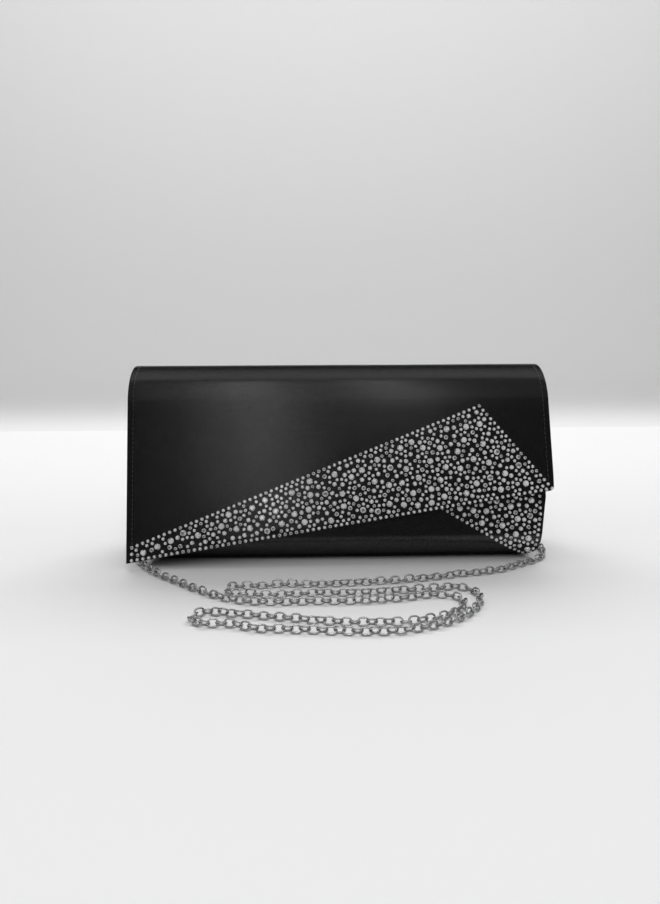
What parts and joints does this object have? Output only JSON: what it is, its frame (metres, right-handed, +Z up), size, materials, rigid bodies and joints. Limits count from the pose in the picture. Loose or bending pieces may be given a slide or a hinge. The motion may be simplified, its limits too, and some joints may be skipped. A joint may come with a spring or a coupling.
{
  "type": "evening bag",
  "caption": "Satin clutch with a slanted stone-set front flap, pleated side gussets, magnetic closure and a loose cable chain hooked to a ring at each side.",
  "frame": {"origin": "centre of the bag's box, without the chain, on the surface it stands on", "axes": "+X to the right of the bag seen from the front, +Y towards the back, +Z up; the front flap faces -Y"},
  "size_m": [0.2714, 0.1578, 0.1222],
  "materials": {
    "satin": "black satin weave with a soft sheen",
    "lining": "plain woven lining, matt",
    "board": "grey-brown bag stiffener board",
    "stone": "clear cut glass with a silvered back",
    "magnet": "nickel plated disc magnet",
    "ring_metal": "polished nickel plate",
    "chain_metal": "polished silver-coloured links"
  },
  "bodies": {
    "case": {"back_satin": "satin", "back_board": "board", "back_lining": "lining", "base_satin": "satin", "base_board": "board", "base_lining": "lining", "slip_pocket": "lining", "gusset_left": "satin", "gusset_right": "satin", "gusset_lining_left": "lining", "gusset_lining_right": "lining", "ring_tab_left": "satin", "ring_tab_right": "satin", "jump_ring_left": "ring_metal", "jump_ring_right": "ring_metal", "chain": "chain_metal"},
    "front": {"front_satin": "satin", "front_board": "board", "front_lining": "lining", "front_magnet": "magnet", "front_stones_large": "stone", "front_stones_medium": "stone", "front_stones_small": "stone"},
    "flap": {"flap_satin": "satin", "flap_board": "board", "flap_lining": "lining", "flap_magnet": "magnet", "flap_stones_large": "stone", "flap_stones_medium": "stone", "flap_stones_small": "stone"},
    "ring_left": {"d_ring_left": "ring_metal"},
    "ring_right": {"d_ring_right": "ring_metal"}
  },
  "joints": [
    {"name": "flap_hinge", "type": "hinge", "parent": "case", "child": "flap", "pos_m": [0, 0.0321, 0.1147], "axis": [-1, 0, 0], "range_deg": [0, 180]},
    {"name": "front_tilt", "type": "hinge", "parent": "case", "child": "front", "pos_m": [0, -0.0096, 0.014], "axis": [1, 0, 0], "range_deg": [0, 12], "deforming": ["gusset_left", "gusset_right", "gusset_lining_left", "gusset_lining_right"]},
    {"name": "ring_swing_left", "type": "hinge", "parent": "case", "child": "ring_left", "pos_m": [-0.1302, 0.0226, 0.098], "axis": [0, 0, 1], "range_deg": [-10, 10]},
    {"name": "ring_swing_right", "type": "hinge", "parent": "case", "child": "ring_right", "pos_m": [0.1302, 0.0226, 0.098], "axis": [0, 0, 1], "range_deg": [-10, 10]}
  ],
  "couplings": [
    {"joint": "front_tilt", "follows": "flap_hinge", "ratio": 0.066667}
  ]
}
